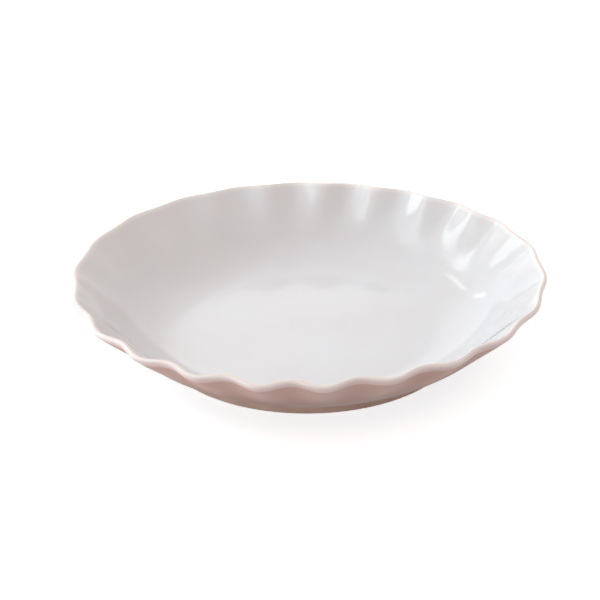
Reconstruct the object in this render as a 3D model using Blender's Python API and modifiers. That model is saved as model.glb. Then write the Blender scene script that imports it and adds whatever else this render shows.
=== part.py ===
"""Fluted charger plate of glazed stoneware.

The plate is a turned clay shell whose wall is pressed outwards into flutes, so that the lip runs in
waves. A ring of clay under the floor carries it. Four coats of glaze lie on the clay: a white one
inside, a pale one over the lip, a blush one outside and another under the base. The bearing face of
the foot ring is bare clay.

Metres, +Z up. The origin is on the table, under the middle of the plate. +Y points away from the
side that is nearest in the usual view.
"""

import math

import bmesh
import bpy

# Shell, measured over the glaze
RIM_RADIUS = 0.1487
RIM_HEIGHT = 0.0500
WALL_ANGLE = math.radians(42.0)
FLOOR_SWEEP = 0.0630

# Clay and glaze thicknesses
FLOOR_CLAY = 0.0040
LIP_CLAY = 0.0024
GLAZE = 0.0004
BOND_GAP = 0.0003

# Foot ring
FOOT_HEIGHT = 0.0046
FOOT_RADIUS = 0.0895
FOOT_WIDTH = 0.0080
FOOT_DRAFT = 0.0020
FOOT_EDGE = 0.0008

# Flutes, pressed by hand, so that their spacing and depth change round the rim. They push the wall
# outwards and dip a little.
FLUTE_COUNT = 22
FLUTE_DEPTH = 0.00186
FLUTE_DIP = math.radians(16.7)
FLUTE_LENGTH = 0.0420
FLUTE_TURN = math.radians(-3.6)
FLUTE_DRIFT = math.radians(2.5)
FLUTE_DRIFT_TURN = math.radians(12.6)
FLUTE_SWELL = 0.50
FLUTE_SWELL_TURN = math.radians(19.2)

# The rim is also warped a little, twice up and twice down in a round
RIM_WARP = 0.00075
RIM_WARP_TURN = math.radians(49.7)
WARP_WAVES = 2

# Fineness of the turned shapes
STEPS_PER_FLUTE = 6
FOOT_STEPS = 72
SWEEP_SPANS = 4
WALL_SPANS = 3
LIP_SPANS = 3
FOOT_TOP_SPANS = 2
WELD = 0.00001
SHARP_EDGE = math.radians(40.0)

# Finishes: colour, roughness
CLAY = ((0.66, 0.49, 0.41), 0.85)
WHITE_GLAZE = ((0.79, 0.80, 0.82), 0.06)
LIP_TINT = ((0.82, 0.73, 0.70), 0.12)
BLUSH_GLAZE = ((0.54, 0.38, 0.33), 0.30)

# Worked out from the sizes above: the line down the middle of the clay, from the axis to the lip
COAT = BOND_GAP + GLAZE
LIP_ROUND = LIP_CLAY / 2 + COAT
FLOOR_Z = FOOT_HEIGHT + COAT + FLOOR_CLAY / 2
LIP_R = RIM_RADIUS - LIP_ROUND
LIP_Z = RIM_HEIGHT - LIP_ROUND
SWEEP_RISE = FLOOR_SWEEP * (1 - math.cos(WALL_ANGLE))
WALL_LENGTH = (LIP_Z - FLOOR_Z - SWEEP_RISE) / math.sin(WALL_ANGLE)
FLOOR_RADIUS = LIP_R - WALL_LENGTH * math.cos(WALL_ANGLE) - FLOOR_SWEEP * math.sin(WALL_ANGLE)
SWEEP_END = FLOOR_RADIUS + FLOOR_SWEEP * WALL_ANGLE
LIP_END = SWEEP_END + WALL_LENGTH


def middle_line(along):
    """Radius, height and slope of the clay's middle line, at a distance along it from the axis."""
    if along <= FLOOR_RADIUS:
        return along, FLOOR_Z, 0.0
    slope = min((along - FLOOR_RADIUS) / FLOOR_SWEEP, WALL_ANGLE)
    straight = max(along - SWEEP_END, 0.0)
    radius = FLOOR_RADIUS + FLOOR_SWEEP * math.sin(slope) + straight * math.cos(slope)
    height = FLOOR_Z + FLOOR_SWEEP * (1 - math.cos(slope)) + straight * math.sin(slope)
    return radius, height, slope


def shell_point(along, inwards):
    """Radius and height of a point that lies so far inwards, or upwards, from the middle line."""
    radius, height, slope = middle_line(along)
    return radius - inwards * math.sin(slope), height + inwards * math.cos(slope)


def half_clay(along):
    """Half the clay's thickness, which tapers from the edge of the floor to the lip."""
    share = (along - FLOOR_RADIUS) / (LIP_END - FLOOR_RADIUS)
    share = min(max(share, 0.0), 1.0)
    return (FLOOR_CLAY + (LIP_CLAY - FLOOR_CLAY) * share) / 2


def inner_face(along, clear=0.0):
    return shell_point(along, half_clay(along) + clear)


def outer_face(along, clear=0.0):
    return shell_point(along, -half_clay(along) - clear)


def along_at_underside(radius):
    """Distance along the middle line at which the underside of floor and sweep reaches this radius."""
    if radius <= FLOOR_RADIUS:
        return radius
    reach = FLOOR_SWEEP + FLOOR_CLAY / 2 + BOND_GAP
    return FLOOR_RADIUS + FLOOR_SWEEP * math.asin((radius - FLOOR_RADIUS) / reach)


def stations(start, end):
    """Distances along the middle line from start to end, where the turned rings lie."""
    marks = [FLOOR_RADIUS + FLOOR_SWEEP * WALL_ANGLE * i / SWEEP_SPANS for i in range(SWEEP_SPANS + 1)]
    marks += [SWEEP_END + WALL_LENGTH * i / WALL_SPANS for i in range(1, WALL_SPANS)]
    inside = [mark for mark in marks if start + COAT < mark < end - COAT]
    return [start] + inside + [end]


def lip_arc(radius, clear=0.0):
    """Half circle round the end of the clay, from the inner face to the outer one, ends left out."""
    middle_r, middle_z, slope = middle_line(LIP_END)
    points = []
    for i in range(1, LIP_SPANS):
        turn = slope + math.pi / 2 - math.pi * i / LIP_SPANS
        reach = radius + clear
        points.append((middle_r + reach * math.cos(turn), middle_z + reach * math.sin(turn)))
    return points


def clay_profile():
    marks = stations(0.0, LIP_END)
    inside = [inner_face(mark) for mark in marks]
    outside = [outer_face(mark) for mark in marks]
    return inside + lip_arc(LIP_CLAY / 2) + outside[::-1]


def coat_profile(face, start, end):
    """Section of a glaze coat on one face of the clay, glaze side first."""
    marks = stations(start, end)
    glazed = [face(mark, COAT) for mark in marks]
    bonded = [face(mark, BOND_GAP) for mark in marks]
    return glazed + bonded[::-1]


def lip_profile():
    """Section of the coat that is folded over the lip, outside first."""
    over = [inner_face(LIP_END, COAT), *lip_arc(LIP_CLAY / 2, COAT), outer_face(LIP_END, COAT)]
    under = [inner_face(LIP_END, BOND_GAP), *lip_arc(LIP_CLAY / 2, BOND_GAP), outer_face(LIP_END, BOND_GAP)]
    return over + under[::-1]


# Where the foot ring's top meets the underside of the clay
FOOT_TOP_IN = along_at_underside(FOOT_RADIUS - FOOT_WIDTH / 2 - FOOT_DRAFT)
FOOT_TOP_OUT = along_at_underside(FOOT_RADIUS + FOOT_WIDTH / 2 + FOOT_DRAFT)


def foot_profile():
    """Section of the foot ring: its top follows the clay, and its bearing face has broken edges."""
    spans = range(FOOT_TOP_SPANS + 1)
    marks = [FOOT_TOP_IN + (FOOT_TOP_OUT - FOOT_TOP_IN) * i / FOOT_TOP_SPANS for i in spans]
    top = [outer_face(mark, BOND_GAP) for mark in marks]
    bearing_in = FOOT_RADIUS - FOOT_WIDTH / 2
    bearing_out = FOOT_RADIUS + FOOT_WIDTH / 2
    bottom = [
        (bearing_out, FOOT_EDGE),
        (bearing_out - FOOT_EDGE, 0.0),
        (bearing_in + FOOT_EDGE, 0.0),
        (bearing_in, FOOT_EDGE),
    ]
    return top + bottom


def make_material(name, colour, roughness):
    material = bpy.data.materials.new(name)
    material.use_nodes = True
    shader = material.node_tree.nodes["Principled BSDF"]
    shader.inputs["Base Color"].default_value = (*colour, 1.0)
    shader.inputs["Roughness"].default_value = roughness
    shader.inputs["Metallic"].default_value = 0.0
    return material


def along_of(radius, height):
    """Distance along the middle line of the place on it that is nearest to a point of the shell."""
    if radius <= FLOOR_RADIUS:
        return radius
    slope = math.atan2(radius - FLOOR_RADIUS, FLOOR_Z + FLOOR_SWEEP - height)
    if slope <= WALL_ANGLE:
        return FLOOR_RADIUS + FLOOR_SWEEP * slope
    start_r, start_z, _ = middle_line(SWEEP_END)
    run = (radius - start_r) * math.cos(WALL_ANGLE) + (height - start_z) * math.sin(WALL_ANGLE)
    return min(SWEEP_END + run, LIP_END)


def split_quads(form):
    """Splits every four-sided face along the diagonal that climbs anticlockwise.

    The faces on both sides of a bond are then split alike, and keep their gap once they are pressed.
    """
    for face in [face for face in form.faces if len(face.verts) == 4]:
        low, _, high, _ = face.verts
        around = low.co.x * high.co.y - low.co.y * high.co.x
        climb = along_of(high.co.xy.length, high.co.z) - along_of(low.co.xy.length, low.co.z)
        if around * climb < 0:
            _, low, _, high = face.verts
        bmesh.utils.face_split(face, low, high)


def turn(name, profile, closed, steps):
    """Turns a section, given as radii and heights, once round the Z axis, and returns its mesh."""
    section = bpy.data.meshes.new(name + "_section")
    points = [(radius, 0.0, height) for radius, height in profile]
    edges = [(i, i + 1) for i in range(len(points) - 1)]
    if closed:
        edges.append((len(points) - 1, 0))
    section.from_pydata(points, edges, [])
    blank = bpy.data.objects.new(name + "_blank", section)
    bpy.context.scene.collection.objects.link(blank)
    screw = blank.modifiers.new("turn", "SCREW")
    screw.axis = "Z"
    screw.angle = math.tau
    screw.steps = steps
    screw.render_steps = steps
    screw.use_merge_vertices = True
    screw.merge_threshold = WELD
    graph = bpy.context.evaluated_depsgraph_get()
    mesh = bpy.data.meshes.new_from_object(blank.evaluated_get(graph))
    bpy.data.objects.remove(blank)
    bpy.data.meshes.remove(section)
    form = bmesh.new()
    form.from_mesh(mesh)
    bmesh.ops.remove_doubles(form, verts=form.verts, dist=WELD)
    bmesh.ops.recalc_face_normals(form, faces=form.faces)
    split_quads(form)
    form.to_mesh(mesh)
    form.free()
    mesh.name = name
    return mesh


def press_flutes(mesh):
    """Presses the flutes into a turned mesh: the wall moves out and in, most at the lip."""
    for vertex in mesh.vertices:
        radius = math.hypot(vertex.co.x, vertex.co.y)
        angle = math.atan2(vertex.co.y, vertex.co.x)
        along = along_of(radius, vertex.co.z)
        share = min(max((along - LIP_END + FLUTE_LENGTH) / FLUTE_LENGTH, 0.0), 1.0)
        fade = share * share * (3 - 2 * share)
        placed = angle + FLUTE_TURN + FLUTE_DRIFT * math.sin(WARP_WAVES * angle + FLUTE_DRIFT_TURN)
        depth = FLUTE_DEPTH * (1 - FLUTE_SWELL * math.cos(WARP_WAVES * placed + FLUTE_SWELL_TURN))
        push = depth * fade * math.cos(FLUTE_COUNT * angle)
        lift = RIM_WARP * fade * math.cos(WARP_WAVES * placed + RIM_WARP_TURN)
        radius += push * math.cos(FLUTE_DIP)
        height = vertex.co.z - push * math.sin(FLUTE_DIP) + lift
        vertex.co = (radius * math.cos(placed), radius * math.sin(placed), height)


def add_piece(name, profile, closed, material, fluted, steps):
    mesh = turn(name, profile, closed, steps)
    if fluted:
        press_flutes(mesh)
    mesh.materials.append(material)
    mesh.shade_smooth()
    mesh.set_sharp_from_angle(angle=SHARP_EDGE)
    piece = bpy.data.objects.new(name, mesh)
    bpy.data.collections["charger_plate"].objects.link(piece)
    return piece


def build_plate():
    for old in list(bpy.data.objects):
        bpy.data.objects.remove(old)
    plate = bpy.data.collections.new("charger_plate")
    bpy.context.scene.collection.children.link(plate)

    clay = make_material("stoneware_clay", *CLAY)
    white = make_material("white_gloss_glaze", *WHITE_GLAZE)
    pale = make_material("pale_lip_glaze", *LIP_TINT)
    blush = make_material("blush_glaze", *BLUSH_GLAZE)
    round_steps = FLUTE_COUNT * STEPS_PER_FLUTE

    add_piece("clay_body", clay_profile(), False, clay, True, round_steps)
    add_piece("foot_ring", foot_profile(), True, clay, False, FOOT_STEPS)
    inside = coat_profile(inner_face, 0.0, LIP_END - BOND_GAP)
    add_piece("inside_glaze", inside, False, white, True, round_steps)
    add_piece("lip_glaze", lip_profile(), True, pale, True, round_steps)
    outside = coat_profile(outer_face, FOOT_TOP_OUT + BOND_GAP, LIP_END - BOND_GAP)
    add_piece("outside_glaze", outside, True, blush, True, round_steps)
    base = coat_profile(outer_face, 0.0, FOOT_TOP_IN - BOND_GAP)
    add_piece("base_glaze", base, False, blush, False, FOOT_STEPS)


build_plate()
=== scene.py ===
# A fluted charger plate of glazed stoneware on a pale studio floor.
import math

import bmesh
import bpy
from mathutils import Matrix, Vector


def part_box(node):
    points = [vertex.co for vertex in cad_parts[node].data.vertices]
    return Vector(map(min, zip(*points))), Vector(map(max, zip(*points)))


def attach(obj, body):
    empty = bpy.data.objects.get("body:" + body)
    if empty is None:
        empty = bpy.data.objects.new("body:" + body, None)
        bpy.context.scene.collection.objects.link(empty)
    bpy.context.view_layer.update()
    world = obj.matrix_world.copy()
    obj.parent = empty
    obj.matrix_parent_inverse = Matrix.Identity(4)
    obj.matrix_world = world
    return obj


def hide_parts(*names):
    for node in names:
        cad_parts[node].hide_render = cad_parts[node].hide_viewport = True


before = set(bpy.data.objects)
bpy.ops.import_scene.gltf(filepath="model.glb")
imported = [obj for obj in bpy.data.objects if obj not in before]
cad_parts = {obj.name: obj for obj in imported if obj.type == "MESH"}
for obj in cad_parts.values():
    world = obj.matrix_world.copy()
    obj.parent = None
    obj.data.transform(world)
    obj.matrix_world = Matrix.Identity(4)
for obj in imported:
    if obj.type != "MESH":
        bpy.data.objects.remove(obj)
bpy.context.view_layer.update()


# CLAY SHELL
# One disc of stoneware clay, thrown on a wheel: a flat floor, a sweep, and a straight wall that leans
# out to a round lip. While it is soft, flutes are pressed into the wall by hand, so the lip runs in
# waves that drift a little in their spacing. It is fired hard, and the glazes cover all of it.
floor_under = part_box("clay_body")[0][2]
glaze_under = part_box("base_glaze")[0][2]
coat = floor_under - glaze_under
bond_gap = 0.0003
floor_clay = 0.0040
lip_clay = 0.0024
rim_radius = 0.1487
rim_height = 0.0500
wall_slope = math.radians(42.0)
sweep_radius = 0.0630
flute_count = 22
flute_depth = 0.00186
flute_dip = math.radians(16.7)
flute_length = 0.0420
flute_turn = math.radians(-3.6)
spacing_drift = math.radians(2.5)
spacing_drift_turn = math.radians(12.6)
depth_swell = 0.50
depth_swell_turn = math.radians(19.2)
rim_warp = 0.00075
rim_warp_turn = math.radians(49.7)
hand_wobble = 0.0003
wobble_size = 0.045

floor_middle = floor_under + floor_clay / 2
lip_round = lip_clay / 2 + coat
lip_middle = (rim_radius - lip_round, rim_height - lip_round)
sweep_rise = sweep_radius * (1 - math.cos(wall_slope))
wall_length = (lip_middle[1] - floor_middle - sweep_rise) / math.sin(wall_slope)
floor_radius = lip_middle[0] - wall_length * math.cos(wall_slope) - sweep_radius * math.sin(wall_slope)
sweep_end = floor_radius + sweep_radius * wall_slope
lip_end = sweep_end + wall_length


def shell_point(along, inwards):
    """A point of a section: its radius, its height, how far along the shell it is, and the slope there."""
    slope = min(max((along - floor_radius) / sweep_radius, 0.0), wall_slope)
    straight = max(along - sweep_end, 0.0)
    radius = min(along, floor_radius) + sweep_radius * math.sin(slope) + straight * math.cos(slope)
    height = floor_middle + sweep_radius * (1 - math.cos(slope)) + straight * math.sin(slope)
    return radius - inwards * math.sin(slope), height + inwards * math.cos(slope), along, slope


def half_clay(along):
    """Half the thickness of the clay, which thins from the floor to the lip."""
    share = min(max((along - floor_radius) / (lip_end - floor_radius), 0.0), 1.0)
    return (floor_clay + (lip_clay - floor_clay) * share) / 2


inner, outer = 1, -1


def face_points(start, end, side, rings, clear=0.0):
    """Points along the inner or the outer face of the clay, or clear of it."""
    marks = [start + (end - start) * i / rings for i in range(rings + 1)]
    return [shell_point(mark, side * (half_clay(mark) + clear)) for mark in marks]


def lip_points(radius, rings):
    """Points round the lip, from the inside over the top to the outside."""
    points = []
    for i in range(rings + 1):
        turn = wall_slope + math.pi / 2 - math.pi * i / rings
        outwards = lip_middle[0] + radius * math.cos(turn)
        upwards = lip_middle[1] + radius * math.sin(turn)
        points.append((outwards, upwards, lip_end, wall_slope))
    return points


def link_or_set(tree, value, socket):
    if isinstance(value, bpy.types.NodeSocket):
        tree.links.new(value, socket)
    else:
        socket.default_value = value


def compute(tree, operation, *values):
    """A Math node on sockets or numbers, and its result."""
    node = tree.nodes.new("ShaderNodeMath")
    node.operation = operation
    for value, socket in zip(values, node.inputs):
        link_or_set(tree, value, socket)
    return node.outputs[0]


def spread(tree, value, low, high, to_low=0.0, to_high=1.0):
    """Takes the part of a value between low and high and spreads it out, with a soft start and end."""
    node = tree.nodes.new("ShaderNodeMapRange")
    node.interpolation_type = "SMOOTHSTEP"
    labels = ("Value", "From Min", "From Max", "To Min", "To Max")
    for label, given in zip(labels, (value, low, high, to_low, to_high)):
        link_or_set(tree, given, node.inputs[label])
    return node.outputs[0]


def noise(tree, vector, scale, detail=2.0):
    node = tree.nodes.new("ShaderNodeTexNoise")
    node.inputs["Detail"].default_value = detail
    link_or_set(tree, scale, node.inputs["Scale"])
    tree.links.new(vector, node.inputs["Vector"])
    return node.outputs[0]


def joined(tree, x, y, z):
    """A vector of three values."""
    node = tree.nodes.new("ShaderNodeCombineXYZ")
    for value, socket in zip((x, y, z), node.inputs):
        tree.links.new(value, socket)
    return node.outputs[0]


def section_value(tree, section, ring, kind, field):
    """The value that the section's points hold for the ring a point of the turned form lies on."""
    node = tree.nodes.new("GeometryNodeSampleIndex")
    node.data_type = kind
    tree.links.new(section, node.inputs["Geometry"])
    tree.links.new(field, node.inputs["Value"])
    tree.links.new(ring, node.inputs["Index"])
    return node.outputs[0]


def named_value(tree, name):
    node = tree.nodes.new("GeometryNodeInputNamedAttribute")
    node.data_type = "FLOAT"
    node.inputs["Name"].default_value = name
    return node.outputs["Attribute"]


def keep_value(tree, mesh, name, value):
    """Keeps a value on the points of the form, for its finish to read."""
    node = tree.nodes.new("GeometryNodeStoreNamedAttribute")
    node.data_type = "FLOAT"
    node.domain = "POINT"
    node.inputs["Name"].default_value = name
    tree.links.new(mesh, node.inputs["Geometry"])
    tree.links.new(value, node.inputs["Value"])
    return node.outputs[0]


weld_distance = 0.000002


def make_turning():
    """Geometry Nodes that turn a section once round the axis and press the flutes into it."""
    tree = bpy.data.node_groups.new("turn_and_flute", "GeometryNodeTree")
    sizes = (
        "Flute Count", "Flute Depth", "Flute Dip", "Flute Top", "Flute Length", "Flute Turn",
        "Spacing Drift", "Spacing Drift Turn", "Depth Swell", "Depth Swell Turn",
        "Rim Warp", "Rim Warp Turn", "Hand Wobble", "Wobble Size",
    )
    sockets = [("Section", "NodeSocketGeometry")]
    sockets += [(name, "NodeSocketInt") for name in ("Section Points", "Steps Around")]
    sockets += [(name, "NodeSocketFloat") for name in sizes]
    sockets += [("Finish", "NodeSocketMaterial")]
    for name, kind in sockets:
        tree.interface.new_socket(name, in_out="INPUT", socket_type=kind)
    tree.interface.new_socket("Turned Form", in_out="OUTPUT", socket_type="NodeSocketGeometry")
    given = tree.nodes.new("NodeGroupInput").outputs
    section = given["Section"]

    # One row of points for each point of the section, and one column for each step round the axis
    columns = compute(tree, "ADD", given["Steps Around"], 1.0)
    grid = tree.nodes.new("GeometryNodeMeshGrid")
    tree.links.new(given["Section Points"], grid.inputs["Vertices X"])
    tree.links.new(columns, grid.inputs["Vertices Y"])
    index = tree.nodes.new("GeometryNodeInputIndex").outputs[0]
    ring = compute(tree, "FLOOR", compute(tree, "DIVIDE", index, columns))
    step = compute(tree, "SUBTRACT", index, compute(tree, "MULTIPLY", ring, columns))
    turn = compute(tree, "DIVIDE", compute(tree, "MULTIPLY", step, math.tau), given["Steps Around"])
    position = tree.nodes.new("GeometryNodeInputPosition").outputs[0]
    split = tree.nodes.new("ShaderNodeSeparateXYZ")
    tree.links.new(section_value(tree, section, ring, "FLOAT_VECTOR", position), split.inputs[0])
    plain_radius, plain_height = split.outputs["X"], split.outputs["Z"]
    along = section_value(tree, section, ring, "FLOAT", named_value(tree, "along"))
    slope = section_value(tree, section, ring, "FLOAT", named_value(tree, "slope"))
    across = section_value(tree, section, ring, "FLOAT", named_value(tree, "across"))

    # Where the step ends up: the flutes' spacing drifts by a few degrees
    slow_waves = 2.0
    drift_turn = compute(tree, "MULTIPLY_ADD", turn, slow_waves, given["Spacing Drift Turn"])
    swing = compute(tree, "SINE", drift_turn)
    drift = compute(tree, "MULTIPLY_ADD", swing, given["Spacing Drift"], given["Flute Turn"])
    placed = compute(tree, "ADD", turn, drift)
    cosine = compute(tree, "COSINE", placed)
    sine = compute(tree, "SINE", placed)

    # How far the flutes are pressed: not at all low on the wall, and fully at the lip
    flute_end = compute(tree, "SUBTRACT", given["Flute Top"], given["Flute Length"])
    share = spread(tree, along, flute_end, given["Flute Top"])
    lobes = compute(tree, "COSINE", compute(tree, "MULTIPLY", turn, given["Flute Count"]))
    wave = compute(tree, "MULTIPLY", share, lobes)

    # They are deeper on two sides of the rim than on the other two
    swell_turn = compute(tree, "MULTIPLY_ADD", placed, slow_waves, given["Depth Swell Turn"])
    swell = compute(tree, "MULTIPLY", compute(tree, "COSINE", swell_turn), given["Depth Swell"])
    depth = compute(tree, "MULTIPLY", compute(tree, "SUBTRACT", 1.0, swell), given["Flute Depth"])
    push = compute(tree, "MULTIPLY", wave, depth)

    # The small unevenness of a hand-made wall
    round_x = compute(tree, "MULTIPLY", plain_radius, cosine)
    round_y = compute(tree, "MULTIPLY", plain_radius, sine)
    spot = joined(tree, round_x, round_y, plain_height)
    uneven = noise(tree, spot, compute(tree, "DIVIDE", 1.0, given["Wobble Size"]), detail=1.0)
    wobble = compute(tree, "MULTIPLY", compute(tree, "SUBTRACT", uneven, 0.5), given["Hand Wobble"])

    # The flutes push each point outwards and dip a little, the unevenness moves it square to the wall,
    # and the rim is lifted a little by its warp
    bulge = compute(tree, "MULTIPLY_ADD", wobble, compute(tree, "SINE", slope), plain_radius)
    radius = compute(tree, "MULTIPLY_ADD", push, compute(tree, "COSINE", given["Flute Dip"]), bulge)
    warp_turn = compute(tree, "MULTIPLY_ADD", placed, slow_waves, given["Rim Warp Turn"])
    warp = compute(tree, "MULTIPLY", compute(tree, "COSINE", warp_turn), share)
    lift = compute(tree, "MULTIPLY_ADD", warp, given["Rim Warp"], plain_height)
    sag = compute(tree, "MULTIPLY", wobble, compute(tree, "COSINE", slope))
    drop = compute(tree, "MULTIPLY_ADD", push, compute(tree, "SINE", given["Flute Dip"]), sag)
    height = compute(tree, "SUBTRACT", lift, drop)
    shaped_x = compute(tree, "MULTIPLY", radius, cosine)
    shaped_y = compute(tree, "MULTIPLY", radius, sine)

    # The finishes read the flutes and the place across the coat from the points
    form = keep_value(tree, grid.outputs["Mesh"], "flute", wave)
    form = keep_value(tree, form, "across", across)
    move = tree.nodes.new("GeometryNodeSetPosition")
    tree.links.new(form, move.inputs["Geometry"])
    tree.links.new(joined(tree, shaped_x, shaped_y, height), move.inputs["Position"])
    weld = tree.nodes.new("GeometryNodeMergeByDistance")
    weld.inputs["Distance"].default_value = weld_distance
    smooth = tree.nodes.new("GeometryNodeSetShadeSmooth")
    realize = tree.nodes.new("GeometryNodeRealizeInstances")
    finish = tree.nodes.new("GeometryNodeSetMaterial")
    end = tree.nodes.new("NodeGroupOutput")
    tree.links.new(given["Finish"], finish.inputs["Material"])
    chain = (move, weld, smooth, realize, finish, end)
    for before, after in zip(chain, chain[1:]):
        tree.links.new(before.outputs[0], after.inputs[0])
    return tree


turning = make_turning()
coarse_steps = 12 * flute_count
fine_steps = 24 * flute_count
plain_steps = 240
sharp_edge = math.radians(50.0)


def turn_piece(name, points, material, closed=False, fluted=True, steps=fine_steps):
    """Turns a section into a piece. Its points are radius, height, along, slope, and the place across."""
    if closed:
        points = points + points[:1]
    section = bpy.data.meshes.new(name + "_section")
    section.from_pydata([(point[0], 0.0, point[1]) for point in points], [], [])
    for column, label in ((2, "along"), (3, "slope"), (4, "across")):
        held = [point[column] if len(point) > column else 0.0 for point in points]
        section.attributes.new(label, "FLOAT", "POINT").data.foreach_set("value", held)
    piece = bpy.data.objects.new(name, section)
    bpy.context.scene.collection.objects.link(piece)
    modifier = piece.modifiers.new("turn_and_flute", "NODES")
    modifier.node_group = turning
    settings = {
        "Section Points": len(points), "Steps Around": steps,
        "Flute Count": float(flute_count), "Flute Depth": flute_depth if fluted else 0.0,
        "Flute Dip": flute_dip, "Flute Top": lip_end, "Flute Length": flute_length, "Flute Turn": flute_turn,
        "Spacing Drift": spacing_drift, "Spacing Drift Turn": spacing_drift_turn,
        "Depth Swell": depth_swell, "Depth Swell Turn": depth_swell_turn,
        "Rim Warp": rim_warp, "Rim Warp Turn": rim_warp_turn,
        "Hand Wobble": hand_wobble if fluted else 0.0, "Wobble Size": wobble_size, "Finish": material,
    }
    for item in turning.interface.items_tree:
        if item.in_out == "INPUT" and item.name in settings:
            modifier[item.identifier] = settings[item.name]
    graph = bpy.context.evaluated_depsgraph_get()
    mesh = bpy.data.meshes.new_from_object(piece.evaluated_get(graph))
    piece.modifiers.clear()
    piece.data = mesh
    bpy.data.meshes.remove(section)
    form = bmesh.new()
    form.from_mesh(mesh)
    bmesh.ops.recalc_face_normals(form, faces=form.faces)
    form.to_mesh(mesh)
    form.free()
    mesh.name = name
    mesh.set_sharp_from_angle(angle=sharp_edge)
    return piece


def new_finish(name):
    """A material, its nodes and its Principled shader, ready to be joined up."""
    material = bpy.data.materials.new(name)
    material.use_nodes = True
    return material, material.node_tree, material.node_tree.nodes["Principled BSDF"]


def mixed(tree, share, first, second):
    """One colour turning into another."""
    node = tree.nodes.new("ShaderNodeMix")
    node.data_type = "RGBA"
    colours = [socket for socket in node.inputs if socket.type == "RGBA"]
    link_or_set(tree, share, node.inputs["Factor"])
    for colour, socket in zip((first, second), colours):
        link_or_set(tree, colour if isinstance(colour, bpy.types.NodeSocket) else (*colour, 1.0), socket)
    return [socket for socket in node.outputs if socket.type == "RGBA"][0]


noise_range = (0.3, 0.7)
tone_scale = 60.0
speck_patch_scale = 420.0
speck_patch_edge = (0.55, 0.7)
speck_edge = (0.32, 0.12)


def make_clay_grain():
    """Shader group for fired clay: slow tone, dark specks, and the tooth of the surface."""
    tree = bpy.data.node_groups.new("clay_grain", "ShaderNodeTree")
    for name in ("Tone", "Specks", "Tooth"):
        tree.interface.new_socket(name, in_out="OUTPUT", socket_type="NodeSocketFloat")
    tree.interface.new_socket("Grain Scale", in_out="INPUT", socket_type="NodeSocketFloat")
    scale = tree.nodes.new("NodeGroupInput").outputs[0]
    place = tree.nodes.new("ShaderNodeTexCoord").outputs["Object"]
    end = tree.nodes.new("NodeGroupOutput")
    tree.links.new(spread(tree, noise(tree, place, tone_scale), *noise_range), end.inputs["Tone"])
    grains = tree.nodes.new("ShaderNodeTexVoronoi")
    tree.links.new(place, grains.inputs["Vector"])
    tree.links.new(scale, grains.inputs["Scale"])
    patches = spread(tree, noise(tree, place, speck_patch_scale), *speck_patch_edge)
    dots = spread(tree, grains.outputs["Distance"], *speck_edge)
    tree.links.new(compute(tree, "MULTIPLY", dots, patches), end.inputs["Specks"])
    tooth = noise(tree, place, compute(tree, "MULTIPLY", scale, 2.0), detail=4.0)
    tree.links.new(tooth, end.inputs["Tooth"])
    return tree


clay_grain = make_clay_grain()
tooth_depth = 0.00012
clay_roughness = (0.72, 0.9)


def bump(tree, height, distance, strength=1.0):
    node = tree.nodes.new("ShaderNodeBump")
    node.inputs["Distance"].default_value = distance
    node.inputs["Strength"].default_value = strength
    tree.links.new(height, node.inputs["Height"])
    return node.outputs[0]


def make_clay(name, pale, dark, speck, grain_scale):
    """Bare fired clay: matt, a little rough, with a few dark specks."""
    material, tree, shader = new_finish(name)
    group = tree.nodes.new("ShaderNodeGroup")
    group.node_tree = clay_grain
    group.inputs["Grain Scale"].default_value = grain_scale
    toned = mixed(tree, group.outputs["Tone"], pale, dark)
    matt = spread(tree, group.outputs["Tooth"], *noise_range, *clay_roughness)
    tree.links.new(mixed(tree, group.outputs["Specks"], toned, speck), shader.inputs["Base Color"])
    tree.links.new(matt, shader.inputs["Roughness"])
    tree.links.new(bump(tree, group.outputs["Tooth"], tooth_depth), shader.inputs["Normal"])
    return material


biscuit_pale = (0.60, 0.46, 0.38)
biscuit_dark = (0.54, 0.40, 0.32)
biscuit_speck = (0.25, 0.17, 0.13)
shell_clay = make_clay("biscuit_clay", biscuit_pale, biscuit_dark, biscuit_speck, grain_scale=900.0)
shell_section = face_points(0.0, floor_radius, inner, rings=5)
shell_section += face_points(floor_radius, lip_end, inner, rings=34)[1:]
shell_section += lip_points(lip_clay / 2, rings=10)[1:-1]
shell_section += face_points(lip_end, floor_radius, outer, rings=34)
shell_section += face_points(floor_radius, 0.0, outer, rings=5)[1:]
clay_shell = turn_piece("clay_shell", shell_section, shell_clay, steps=coarse_steps)
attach(clay_shell, "root")
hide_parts("clay_body")


# FOOT RING
# A ring of the same clay under the floor, joined with slip and trimmed on the wheel. It is left bare,
# because a glazed foot would stick to the kiln shelf, and its bearing edge is softened with a sponge.
foot_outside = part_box("foot_ring")[1][0]
foot_radius = 0.0895
foot_width = 0.0080
foot_flare = foot_outside - foot_radius - foot_width / 2
foot_edge = 0.0009
edge_steps = 6


def along_under(radius):
    """How far along the shell its underside reaches this radius."""
    reach = sweep_radius + floor_clay / 2 + bond_gap
    return floor_radius + sweep_radius * math.asin(max(radius - floor_radius, 0.0) / reach)


foot_top_in = along_under(foot_radius - foot_width / 2 - foot_flare)
foot_top_out = along_under(foot_outside)
foot_top = face_points(foot_top_in, foot_top_out, outer, rings=8, clear=bond_gap)
foot_section = [point[:2] for point in foot_top]
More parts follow.
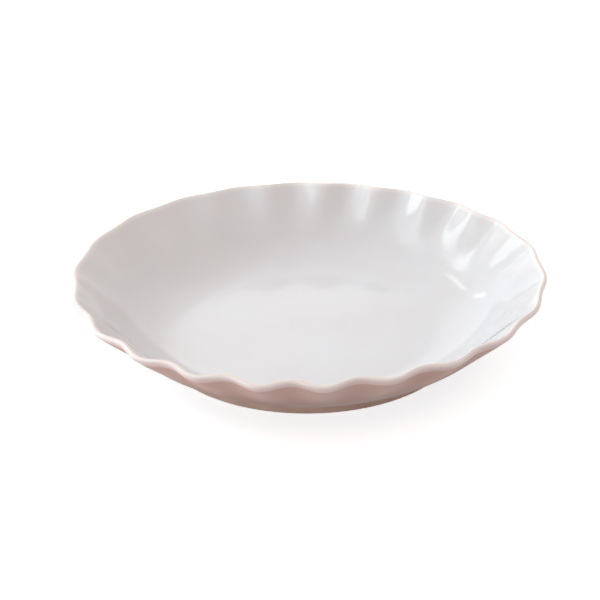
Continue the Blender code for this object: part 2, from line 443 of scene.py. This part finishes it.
# Round the outer bearing edge, and then round the inner one
for side, start in ((1, 0), (-1, edge_steps)):
    for i in range(edge_steps + 1):
        turn = math.pi / 2 * abs(start - i) / edge_steps
        reach = foot_width / 2 - foot_edge * (1 - math.cos(turn))
        foot_section.append((foot_radius + side * reach, foot_edge * (1 - math.sin(turn))))
foot_section = [(radius, height, 0.0, 0.0) for radius, height in foot_section]
foot_pale = (0.672, 0.504, 0.437)
foot_dark = (0.605, 0.437, 0.374)
foot_speck = (0.294, 0.185, 0.143)
foot_clay = make_clay("bare_foot_clay", foot_pale, foot_dark, foot_speck, grain_scale=1100.0)
foot = turn_piece("bare_foot_ring", foot_section, foot_clay, closed=True, fluted=False, steps=plain_steps)
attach(foot, "root")
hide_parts("foot_ring")


# INSIDE GLAZE
# A gloss white glaze poured into the dish, swilled round and fused to the clay in the kiln. It runs thin
# on the ribs between the flutes, where the clay warms it, and sets in ripples on the wall and calm on the
# floor. A band just under the lip is painted whiter: a painted highlight, where light catches the inner face
# of the lip.
white_thick = (0.783, 0.802, 0.833)
white_thin = (0.765, 0.768, 0.787)
white_rib = (0.80, 0.76, 0.74)
# painted highlight: the whiter colour of the band just under the lip
painted_highlight_white = (0.875, 0.86, 0.855)
painted_highlight_band = 0.0030
bands_to_calm = 14.0
bands_of_ripples = 6.0
calm_share = 0.1
rib_share = 0.25
wall_ripple = 0.00080
ripple_scale = 60.0
white_roughness = (0.10, 0.075)
white_ior = 1.50


def make_glaze_flow():
    """Shader group for a glaze: where it lies thick, and the ripple of its surface."""
    tree = bpy.data.node_groups.new("glaze_flow", "ShaderNodeTree")
    for name in ("Pool Scale", "Ripple Scale"):
        tree.interface.new_socket(name, in_out="INPUT", socket_type="NodeSocketFloat")
    for name in ("Pooling", "Ripple"):
        tree.interface.new_socket(name, in_out="OUTPUT", socket_type="NodeSocketFloat")
    given = tree.nodes.new("NodeGroupInput").outputs
    place = tree.nodes.new("ShaderNodeTexCoord").outputs["Object"]
    end = tree.nodes.new("NodeGroupOutput")
    clouds = noise(tree, place, given["Pool Scale"], detail=3.0)
    tree.links.new(spread(tree, clouds, *noise_range), end.inputs["Pooling"])
    tree.links.new(noise(tree, place, given["Ripple Scale"], detail=1.0), end.inputs["Ripple"])
    return tree


glaze_flow = make_glaze_flow()


def glaze_nodes(tree, pool_scale):
    """Where the glaze of a material lies thick, and its ripple."""
    group = tree.nodes.new("ShaderNodeGroup")
    group.node_tree = glaze_flow
    group.inputs["Pool Scale"].default_value = pool_scale
    group.inputs["Ripple Scale"].default_value = ripple_scale
    return group.outputs["Pooling"], group.outputs["Ripple"]


def point_value(tree, name):
    node = tree.nodes.new("ShaderNodeAttribute")
    node.attribute_name = name
    return node.outputs["Fac"]


def below_lip(points, band):
    """Adds to each point how far below the lip it lies, in widths of a band."""
    return [(*point, (lip_end - point[2]) / band) for point in points]


white_glaze, tree, shader = new_finish("white_gloss_glaze")
shader.inputs["IOR"].default_value = white_ior
pooling, ripple = glaze_nodes(tree, pool_scale=16.0)
bands_below = point_value(tree, "across")
body_white = mixed(tree, pooling, white_thin, white_thick)
ribs = spread(tree, point_value(tree, "flute"), -0.5, -1.0, to_high=rib_share)
ribbed = mixed(tree, ribs, body_white, white_rib)
# painted highlight: the band just under the lip is painted whiter, where light catches the lip's inner face
painted_highlight_near_lip = spread(tree, bands_below, 1.0, 0.0)
gloss = spread(tree, pooling, 0.0, 1.0, *white_roughness)
on_wall = spread(tree, bands_below, bands_to_calm, bands_of_ripples, to_low=calm_share)
rippled = compute(tree, "MULTIPLY", ripple, on_wall)
tree.links.new(mixed(tree, painted_highlight_near_lip, ribbed, painted_highlight_white), shader.inputs["Base Color"])
tree.links.new(gloss, shader.inputs["Roughness"])
tree.links.new(bump(tree, rippled, wall_ripple), shader.inputs["Normal"])

inside_section = face_points(0.0, floor_radius, inner, rings=6, clear=coat)
inside_section += face_points(floor_radius, lip_end, inner, rings=44, clear=coat)[1:]
inside_section += face_points(lip_end, floor_radius, inner, rings=22, clear=bond_gap)
inside_section += face_points(floor_radius, 0.0, inner, rings=3, clear=bond_gap)[1:]
inside_glaze = turn_piece("inside_white_glaze", below_lip(inside_section, painted_highlight_band), white_glaze)
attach(inside_glaze, "root")
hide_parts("inside_glaze")


# OUTSIDE GLAZE
# A satin blush glaze brushed on the outside of the wall, from the lip to the foot. The white glaze that
# comes over the lip pales it in a soft band, and lower down it is darkened towards the foot: painted shade,
# where the table shadows the wall.
blush_pale = (0.67, 0.515, 0.505)
blush_light = (0.529, 0.342, 0.294)
blush_dark = (0.490, 0.310, 0.261)
# painted shade: the darker blush towards the foot
blush_painted_shade = (0.362, 0.228, 0.188)
pale_band = 0.0050
bands_to_painted_shade = 4.0
bands_to_darkest_shade = 10.0
brushed_ripple = 0.0002
blush_roughness = (0.55, 0.42)
blush_specular = 0.25


def make_blush(name):
    """The satin blush glaze, which reads how far below the lip it lies."""
    material, tree, shader = new_finish(name)
    shader.inputs["Specular IOR Level"].default_value = blush_specular
    pooling, ripple = glaze_nodes(tree, pool_scale=22.0)
    bands_below = point_value(tree, "across")
    brushed = mixed(tree, pooling, blush_light, blush_dark)
    # painted shade: the blush darkens towards the foot, where the table shadows the wall
    painted_shade_lower = spread(tree, bands_below, bands_to_painted_shade, bands_to_darkest_shade)
    shaded_blush = mixed(tree, painted_shade_lower, brushed, blush_painted_shade)
    paled = mixed(tree, spread(tree, bands_below, 1.0, 0.0), shaded_blush, blush_pale)
    satin = spread(tree, pooling, 0.0, 1.0, *blush_roughness)
    tree.links.new(paled, shader.inputs["Base Color"])
    tree.links.new(satin, shader.inputs["Roughness"])
    tree.links.new(bump(tree, ripple, brushed_ripple, strength=0.4), shader.inputs["Normal"])
    return material


blush_glaze = make_blush("blush_satin_glaze")
outside_start = foot_top_out + bond_gap
outside_section = face_points(lip_end, outside_start, outer, rings=48, clear=coat)
outside_section += face_points(outside_start, lip_end, outer, rings=24, clear=bond_gap)
outside_section = below_lip(outside_section, pale_band)
outside_glaze = turn_piece("outside_blush_glaze", outside_section, blush_glaze, closed=True)
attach(outside_glaze, "root")
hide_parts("outside_glaze")


# LIP GLAZE
# Where the white and the blush glaze meet over the lip they run thin and melt into each other: white
# inside, a breath of peach on the crest, and a pale pink down its outer side.
lip_white = (0.90, 0.885, 0.88)
lip_peach = (0.89, 0.775, 0.725)
peach_rise = (0.05, 0.22)
peach_fall = (0.46, 0.30)
pink_rise = (0.35, 0.90)
lip_waver = 0.12
lip_ripple = 0.0002
lip_roughness = (0.14, 0.08)
lip_glaze, tree, shader = new_finish("pale_lip_glaze")
pooling, ripple = glaze_nodes(tree, pool_scale=40.0)
waver = compute(tree, "MULTIPLY", compute(tree, "SUBTRACT", pooling, 0.5), lip_waver)
across_lip = compute(tree, "ADD", point_value(tree, "across"), waver)
folded = mixed(tree, spread(tree, across_lip, *pink_rise), lip_white, blush_pale)
past_inside = spread(tree, across_lip, *peach_rise)
short_of_outside = spread(tree, across_lip, *peach_fall)
crest = compute(tree, "MULTIPLY", past_inside, short_of_outside)
gloss = spread(tree, pooling, 0.0, 1.0, *lip_roughness)
tree.links.new(mixed(tree, crest, folded, lip_peach), shader.inputs["Base Color"])
tree.links.new(gloss, shader.inputs["Roughness"])
tree.links.new(bump(tree, ripple, lip_ripple, strength=0.3), shader.inputs["Normal"])

lip_rings = 16
over_lip = lip_points(lip_clay / 2 + coat, lip_rings)
under_lip = lip_points(lip_clay / 2 + bond_gap, lip_rings)
shares = [i / lip_rings for i in range(lip_rings + 1)]
lip_section = [(*point, share) for point, share in zip(over_lip, shares)]
lip_section += [(*point, share) for point, share in zip(under_lip, shares)][::-1]
lip_coat = turn_piece("pale_lip_glaze", lip_section, lip_glaze, closed=True)
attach(lip_coat, "root")
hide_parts("lip_glaze")


# BASE GLAZE
# The same blush glaze on the underside, within the foot ring. It is brushed on, and wiped back from the
# ring by a sponge before the firing.
base_end = foot_top_in - bond_gap
base_section = face_points(0.0, base_end, outer, rings=5, clear=bond_gap)[::-1]
base_section += face_points(0.0, base_end, outer, rings=10, clear=coat)
base_section = below_lip(base_section, pale_band)
# This far below the lip the blush is at its darkest painted shade
base_finish = make_blush("base_satin_glaze")
base_glaze = turn_piece("base_blush_glaze", base_section, base_finish, closed=True, steps=plain_steps)
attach(base_glaze, "root")
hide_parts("base_glaze")


# FLOOR
# A plain white table top that runs out past the view, a hair below the foot so that their faces don't
# meet. The camera sees it as white paper, and it keeps the plate's shadow.
floor_half = 4.0
floor_height = -0.0001
paper_colour = (0.83, 0.865, 0.885, 1.0)
paper_roughness = 0.9
paper_glow = (0.95, 1.0, 1.02, 1.0)
paper_glow_strength = 0.70


def seen_rays(tree):
    """1 for the rays that show the surroundings: the camera's, and those a piece mirrors or lets through."""
    light_path = tree.nodes.new("ShaderNodeLightPath")
    seen = compute(tree, "MAXIMUM", light_path.outputs["Is Camera Ray"], light_path.outputs["Is Glossy Ray"])
    return compute(tree, "MAXIMUM", seen, light_path.outputs["Is Transmission Ray"])


floor_mesh = bpy.data.meshes.new("floor")
corner_signs = ((-1, -1), (1, -1), (1, 1), (-1, 1))
floor_corners = [(floor_half * x, floor_half * y, floor_height) for x, y in corner_signs]
floor_mesh.from_pydata(floor_corners, [], [(0, 1, 2, 3)])
floor = bpy.data.objects.new("floor", floor_mesh)
bpy.context.scene.collection.objects.link(floor)
paper, tree, shader = new_finish("white_paper")
shader.inputs["Base Color"].default_value = paper_colour
shader.inputs["Roughness"].default_value = paper_roughness
shader.inputs["Specular IOR Level"].default_value = 0.0
shader.inputs["Emission Color"].default_value = paper_glow
glow = compute(tree, "MULTIPLY", seen_rays(tree), paper_glow_strength)
tree.links.new(glow, shader.inputs["Emission Strength"])
floor_mesh.materials.append(paper)


# LIGHT
# Soft studio light: a bright, slightly warm room all round, a cool panel to the left that models the
# flutes, a low strip from the front left, and a warm fill from the right. Soft windows to the left and
# above, two narrow slits and a white backdrop are there for the glaze to mirror.
plain_white = (1.0, 1.0, 1.0)
room_warm = (1.0, 0.87, 0.815)
room_strength = 0.64
panel_cool = (0.785, 0.93, 0.98)
window_cool = (0.90, 0.98, 1.0)
fill_warm = (1.0, 0.95, 0.92)
plate_middle = Vector((0.0, 0.0, 0.03))
window_distance = 1.6

world = bpy.data.worlds.new("studio")
bpy.context.scene.world = world
world.use_nodes = True
tree = world.node_tree
room = tree.nodes["Background"]
seen = seen_rays(tree)
strength = compute(tree, "MULTIPLY_ADD", seen, 1.0 - room_strength, room_strength)
tree.links.new(mixed(tree, seen, room_warm, plain_white), room.inputs["Color"])
tree.links.new(strength, room.inputs["Strength"])


def soften(lamp, even):
    """Dims a lamp from its middle to its edges. The larger even is, the wider its bright middle."""
    lamp.use_nodes = True
    tree = lamp.node_tree
    pane = tree.nodes.new("ShaderNodeSeparateXYZ")
    tree.links.new(tree.nodes.new("ShaderNodeNewGeometry").outputs["Parametric"], pane.inputs[0])
    bells = []
    for place in (pane.outputs["X"], pane.outputs["Y"]):
        bells.append(compute(tree, "MULTIPLY", compute(tree, "SUBTRACT", 1.0, place), place))
    top_of_bells = 1 / 16
    bell = compute(tree, "MULTIPLY", compute(tree, "MULTIPLY", *bells), even / top_of_bells)
    tree.links.new(compute(tree, "MINIMUM", bell, 1.0), tree.nodes["Emission"].inputs["Strength"])


def add_window(name, towards, width, height, power, colour, soft=True, even=1.0, lean=0.0):
    """A window of light. One that isn't soft lights evenly and isn't mirrored in the glaze."""
    lamp = bpy.data.lights.new(name, "AREA")
    lamp.shape = "RECTANGLE"
    lamp.size = width
    lamp.size_y = height
    lamp.energy = power
    lamp.color = colour
    window = bpy.data.objects.new(name, lamp)
    direction = Vector(towards).normalized()
    leaning = Matrix.Rotation(math.radians(lean), 3, "Z")
    window.location = plate_middle + window_distance * direction
    window.rotation_euler = (direction.to_track_quat("Z", "Y").to_matrix() @ leaning).to_euler()
    bpy.context.scene.collection.objects.link(window)
    window.visible_glossy = soft
    if soft:
        soften(lamp, even)


add_window("panel_left", towards=(-0.75, 0.32, 0.58), width=1.4, height=1.0, power=13.2,
           colour=panel_cool, soft=False)
add_window("window_left", towards=(-0.686, 0.429, 0.588), width=0.55, height=0.36, power=1.62,
           colour=window_cool, even=2.5)
add_window("glow_left", towards=(-0.70, 0.42, 0.57), width=1.1, height=0.7, power=1.69,
           colour=window_cool)
add_window("window_above", towards=(-0.611, -0.075, 0.788), width=1.0, height=0.45, power=2.73,
           colour=window_cool)
add_window("backdrop", towards=(-0.33, 0.90, 0.24), width=1.5, height=1.0, power=1.75,
           colour=plain_white, even=4.0)
add_window("strip_low", towards=(-0.85, -0.52, 0.02), width=1.4, height=0.1, power=5.0,
           colour=plain_white, soft=False)
add_window("slit_left", towards=(-0.441, 0.646, 0.623), width=0.10, height=0.44, power=0.34,
           colour=plain_white, even=3.0, lean=-38.0)
add_window("slit_low", towards=(-0.441, 0.801, 0.405), width=0.08, height=0.24, power=0.13,
           colour=plain_white, even=3.0, lean=22.0)
add_window("fill_right", towards=(0.70, 0.06, 0.71), width=1.6, height=1.2, power=2.5,
           colour=fill_warm)


# CAMERA
# As in the photograph: a long lens, a little above the rim, tipped by less than a degree, and aimed so
# that the middle of the rim falls where the photograph has it.
view_pixels = 600.0
lens_pixels = 2268.0
rim_seen_x, rim_seen_y = 308.5, 272.7
rise = math.radians(25.15)
tip = math.radians(-0.75)
reach_in_rims = 9.59
sensor_width = 36.0

reach = reach_in_rims * rim_radius
rim_middle = Vector((0.0, 0.0, rim_height))
camera_place = rim_middle + reach * Vector((0.0, -math.cos(rise), math.sin(rise)))


def facing(target):
    """How the camera is turned to look at a point."""
    return (camera_place - target).to_track_quat("Z", "Y").to_matrix() @ Matrix.Rotation(tip, 3, "Z")


off_middle = Vector((rim_seen_x - view_pixels / 2, view_pixels / 2 - rim_seen_y, 0.0))
aim = rim_middle - facing(rim_middle) @ off_middle * reach / lens_pixels
camera_data = bpy.data.cameras.new("camera")
camera_data.sensor_width = sensor_width
camera_data.lens = sensor_width * lens_pixels / view_pixels
camera = bpy.data.objects.new("camera", camera_data)
camera.matrix_world = Matrix.Translation(camera_place) @ facing(aim).to_4x4()
bpy.context.scene.collection.objects.link(camera)
bpy.context.scene.camera = camera
bpy.context.scene.view_settings.view_transform = "Standard"
